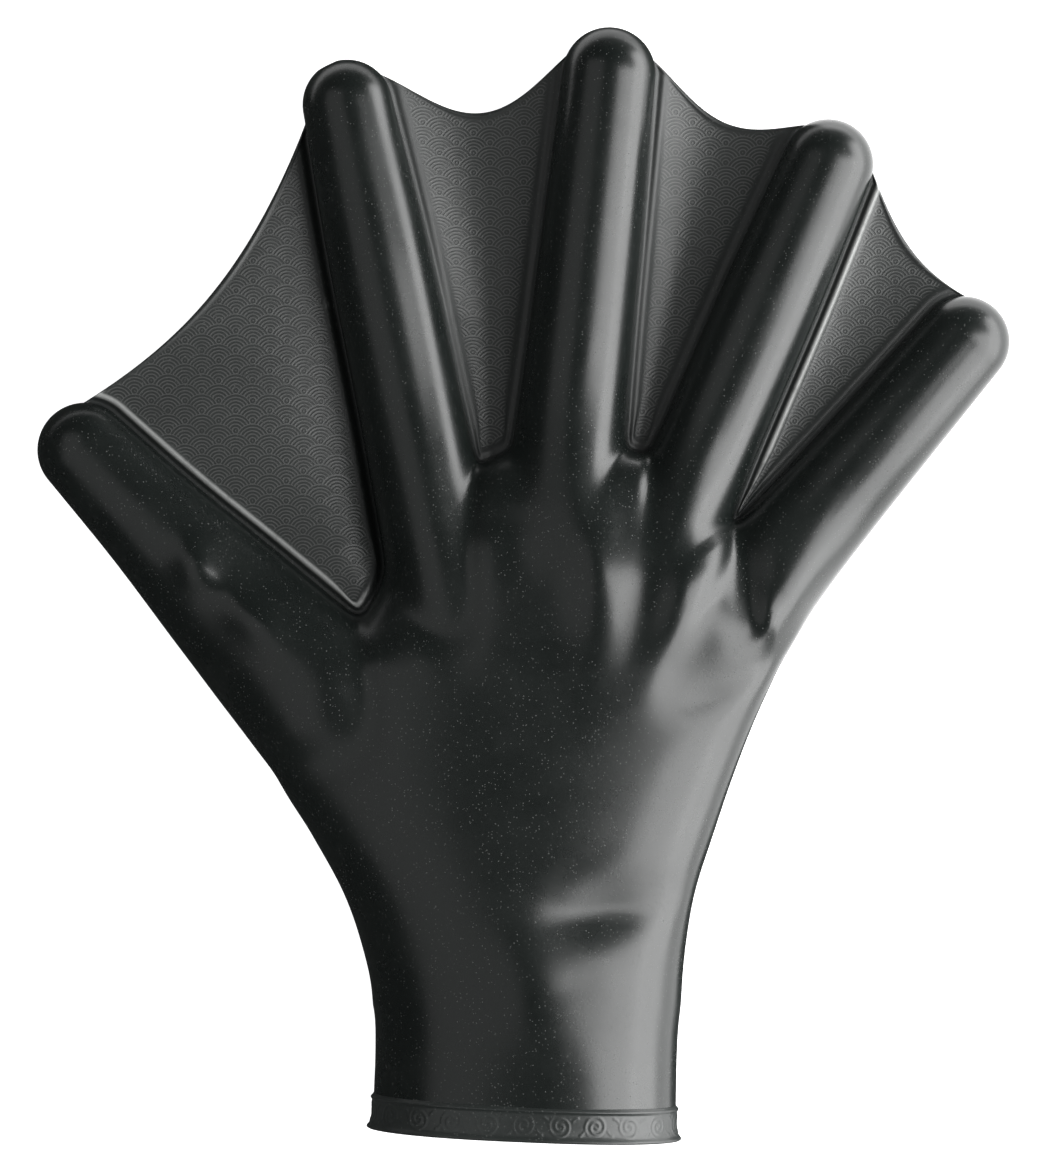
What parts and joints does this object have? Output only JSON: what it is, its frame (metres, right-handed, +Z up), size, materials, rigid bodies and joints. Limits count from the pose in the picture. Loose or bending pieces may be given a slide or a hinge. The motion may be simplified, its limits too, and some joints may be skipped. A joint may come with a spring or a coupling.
{
  "type": "webbed swim glove",
  "caption": "Right-hand dipped rubber swim glove with hollow digits, patterned webs between them and an open cuff with an embossed band.",
  "frame": {"origin": "the middle of the foot of the glove's box, on the floor that its palm side rests on", "axes": "+Y from the cuff toward the fingertips, +Z up out of the back of the hand, +X toward the little finger"},
  "size_m": [0.2114, 0.2408, 0.039],
  "materials": {
    "skin_rubber": "smooth semi-gloss near-black dipped rubber with a fine dusty bloom",
    "web_rubber": "satin near-black rubber with a fine relief of overlapping wave scales",
    "band_rubber": "semi-gloss near-black rubber with a low raised scroll relief"
  },
  "bodies": {
    "root": {"hand_body": "skin_rubber", "knuckles": "skin_rubber", "cuff_sleeve": "skin_rubber", "thumb_stall": "skin_rubber", "index_stall": "skin_rubber", "middle_stall": "skin_rubber", "ring_stall": "skin_rubber", "little_stall": "skin_rubber", "web_thumb_index": "web_rubber", "web_index_middle": "web_rubber", "web_middle_ring": "web_rubber", "web_ring_little": "web_rubber", "cuff_band": "band_rubber"}
  },
  "joints": []
}
